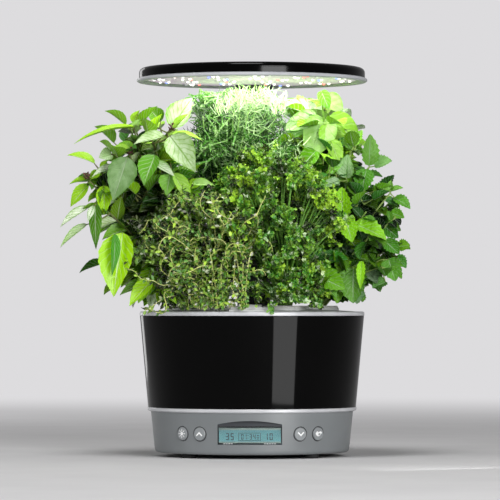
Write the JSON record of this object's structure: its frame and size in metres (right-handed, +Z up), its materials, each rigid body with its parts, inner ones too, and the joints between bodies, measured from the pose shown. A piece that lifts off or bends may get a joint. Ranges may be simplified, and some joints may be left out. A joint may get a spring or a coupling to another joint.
{
  "type": "countertop hydroponic garden",
  "caption": "Round countertop hydroponic garden: water bowl on a control base, herb pods, and a round grow light on a telescoping post.",
  "frame": {"origin": "on the table, on the bowl's centre line", "axes": "+Z up, -Y to the front with the display, +X to the right seen from the front"},
  "size_m": [0.3559, 0.2374, 0.3885],
  "materials": {
    "satin_grey_abs": "satin",
    "dark_abs": "matte",
    "black_rubber": "matte",
    "zinc_steel": "satin",
    "satin_silver_abs": "satin",
    "gloss_black_abs": "gloss",
    "pale_abs": "satin",
    "white_abs": "satin",
    "orange_foam": "matte",
    "clear_tube": "gloss",
    "circuit_board": "satin",
    "chip_black": "matte",
    "lcd_teal": "gloss",
    "display_dark": "satin",
    "clear_lens": "gloss",
    "button_grey": "satin",
    "satin_black_abs": "satin",
    "anodised_post": "satin",
    "led_board_grey": "satin",
    "led_white": "gloss",
    "led_red": "gloss",
    "led_blue": "gloss",
    "peat_sponge": "matte",
    "label_card": "matte",
    "thai_basil_leaf": "satin",
    "thyme_leaf": "matte",
    "parsley_leaf": "satin",
    "dill_leaf": "matte",
    "sweet_basil_leaf": "satin",
    "mint_leaf": "satin"
  },
  "bodies": {
    "garden": {"base_housing": "satin_grey_abs", "bottom_plate": "dark_abs", "rubber_feet": "black_rubber", "base_screws": "zinc_steel", "lower_trim_ring": "satin_silver_abs", "gloss_wrap": "gloss_black_abs", "rim_ring": "satin_silver_abs", "water_bowl": "pale_abs", "grow_deck": "white_abs", "flap_pin": "zinc_steel", "float_guide": "pale_abs", "pump_housing": "dark_abs", "impeller_shaft": "zinc_steel", "pump_filter": "dark_abs", "pump_coupler": "dark_abs", "riser_tube": "clear_tube", "water_manifold": "pale_abs", "control_board": "circuit_board", "board_parts": "chip_black", "lcd_module": "lcd_teal", "display_bezel": "display_dark", "display_lens": "clear_lens", "switch_bracket": "dark_abs", "button_switches": "pale_abs", "dc_jack": "dark_abs", "post_sleeve": "satin_black_abs", "post_collar": "satin_black_abs", "grow_sponges": "peat_sponge", "pod_labels": "label_card", "thai_basil": "thai_basil_leaf", "thyme": "thyme_leaf", "curly_parsley": "parsley_leaf", "dill": "dill_leaf", "sweet_basil": "sweet_basil_leaf", "mint": "mint_leaf", "grow_basket_1": "white_abs", "grow_basket_2": "white_abs", "grow_basket_3": "white_abs", "grow_basket_4": "white_abs", "grow_basket_5": "white_abs", "grow_basket_6": "white_abs"},
    "light": {"light_post": "anodised_post", "hood_hub": "satin_black_abs", "hood_cap": "gloss_black_abs", "hood_ring": "satin_silver_abs", "led_board": "led_board_grey", "leds_white": "led_white", "leds_red": "led_red", "leds_blue": "led_blue", "hood_screws": "zinc_steel"},
    "flap": {"fill_flap": "white_abs"},
    "float": {"water_float": "orange_foam"},
    "impeller": {"pump_impeller": "pale_abs"},
    "light_button": {"button_light": "button_grey"},
    "up_button": {"button_up": "button_grey"},
    "down_button": {"button_down": "button_grey"},
    "food_button": {"button_food": "button_grey"}
  },
  "joints": [
    {"name": "light_slide", "type": "slide", "parent": "garden", "child": "light", "axis": [0, 0, 1], "range_m": [0, 0.075]},
    {"name": "flap_hinge", "type": "hinge", "parent": "garden", "child": "flap", "pos_m": [0, -0.076, 0.1488], "axis": [-1, 0, 0], "range_deg": [0, 95]},
    {"name": "float_slide", "type": "slide", "parent": "garden", "child": "float", "axis": [0, 0, 1], "range_m": [0, 0.0075]},
    {"name": "impeller_spin", "type": "hinge", "parent": "garden", "child": "impeller", "pos_m": [0, 0, 0.06], "axis": [0, 0, 1], "continuous": true},
    {"name": "light_press", "type": "slide", "parent": "garden", "child": "light_button", "axis": [0.6691, 0.7431, 0], "range_m": [0, 0.0006], "stiffness_N_per_m": 600, "springref_m": -0.0006},
    {"name": "up_press", "type": "slide", "parent": "garden", "child": "up_button", "axis": [0.4955, 0.8686, 0], "range_m": [0, 0.0006], "stiffness_N_per_m": 600, "springref_m": -0.0006},
    {"name": "down_press", "type": "slide", "parent": "garden", "child": "down_button", "axis": [-0.4955, 0.8686, 0], "range_m": [0, 0.0006], "stiffness_N_per_m": 600, "springref_m": -0.0006},
    {"name": "food_press", "type": "slide", "parent": "garden", "child": "food_button", "axis": [-0.6691, 0.7431, 0], "range_m": [0, 0.0006], "stiffness_N_per_m": 600, "springref_m": -0.0006}
  ]
}
